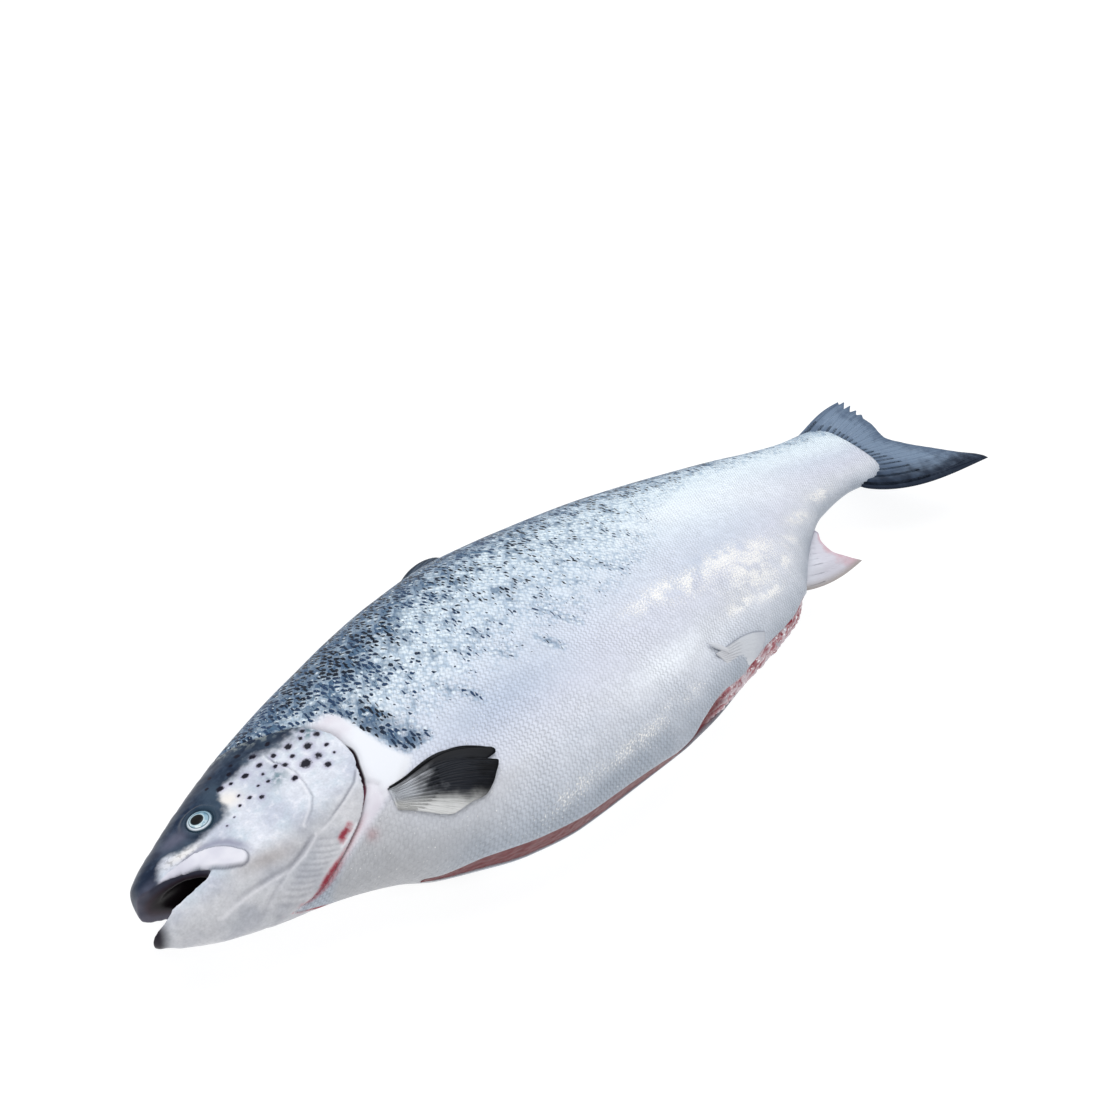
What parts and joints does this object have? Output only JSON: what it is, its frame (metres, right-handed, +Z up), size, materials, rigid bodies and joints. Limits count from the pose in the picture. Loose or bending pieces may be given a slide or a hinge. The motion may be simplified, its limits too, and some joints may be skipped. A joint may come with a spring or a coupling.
{
  "type": "whole frozen salmon",
  "caption": "Whole gutted salmon frozen stiff on its side, silver flank up, mouth open, belly slit from throat to vent, fins folded, forked ragged tail.",
  "frame": {"origin": "middle of the bounding box on the plane the fish lies on", "axes": "+X from head to tail along the fish, +Y from belly to back, +Z up through the left flank"},
  "size_m": [0.7962, 0.2508, 0.0897],
  "materials": {
    "skin": "wet silver scales with dark speckles toward the back"
  },
  "bodies": {
    "root": {"salmon": "skin"}
  },
  "joints": []
}
